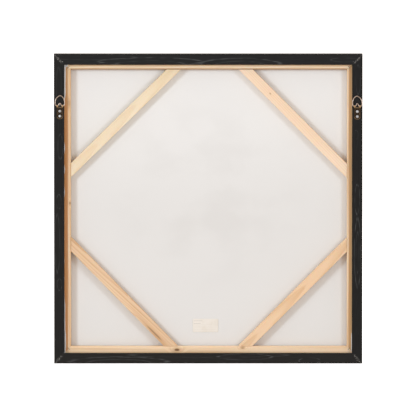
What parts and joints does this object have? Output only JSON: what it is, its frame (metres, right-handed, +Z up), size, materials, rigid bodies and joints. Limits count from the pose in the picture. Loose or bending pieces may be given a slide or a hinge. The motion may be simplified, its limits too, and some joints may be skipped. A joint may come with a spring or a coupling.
{
  "type": "floating frame",
  "caption": "Square stretched canvas on a braced pine stretcher, held in an L-section black wooden floater frame with hinged D-ring hangers on the back.",
  "frame": {"origin": "middle of the bottom rail's underside, at mid depth", "axes": "+Z up; the canvas's painted side faces +Y and the back, with the hangers, faces -Y; +X is to the right when the back is looked at"},
  "size_m": [0.638, 0.0357, 0.642],
  "materials": {
    "black_frame_wood": "satin black stain over open grain",
    "pine_bar": "planed bare pine",
    "pine_brace": "planed bare pine",
    "canvas_cloth": "white primed cotton canvas",
    "strap_bronze": "dark antique bronze plate",
    "ring_nickel": "antique nickel plate",
    "screw_zinc": "bright zinc plate",
    "fastener_steel": "galvanised steel",
    "adhesive_foam": "matt foam",
    "label_paper": "matt cream paper"
  },
  "bodies": {
    "frame": {"adhesive_pads": "adhesive_foam", "bar_bottom": "pine_bar", "bar_joint_staples": "fastener_steel", "bar_left": "pine_bar", "bar_right": "pine_bar", "bar_top": "pine_bar", "brace_bottom_left": "pine_brace", "brace_bottom_right": "pine_brace", "brace_brads": "fastener_steel", "brace_top_left": "pine_brace", "brace_top_right": "pine_brace", "canvas_face": "canvas_cloth", "canvas_margin": "canvas_cloth", "canvas_staples": "fastener_steel", "paper_label": "label_paper", "rail_bottom": "black_frame_wood", "rail_left": "black_frame_wood", "rail_right": "black_frame_wood", "rail_top": "black_frame_wood", "strap_left": "strap_bronze", "strap_right": "strap_bronze", "strap_screws_left": "screw_zinc", "strap_screws_right": "screw_zinc", "v_nails_bottom_left": "fastener_steel", "v_nails_bottom_right": "fastener_steel", "v_nails_top_left": "fastener_steel", "v_nails_top_right": "fastener_steel"},
    "left_ring": {"ring_left": "ring_nickel"},
    "right_ring": {"ring_right": "ring_nickel"}
  },
  "joints": [
    {"name": "left_ring_swing", "type": "hinge", "parent": "frame", "child": "left_ring", "pos_m": [-0.3066, -0.01785, 0.5359], "axis": [1, 0, 0], "range_deg": [0, 160]},
    {"name": "right_ring_swing", "type": "hinge", "parent": "frame", "child": "right_ring", "pos_m": [0.3083, -0.01785, 0.535], "axis": [1, 0, 0], "range_deg": [0, 160]}
  ]
}
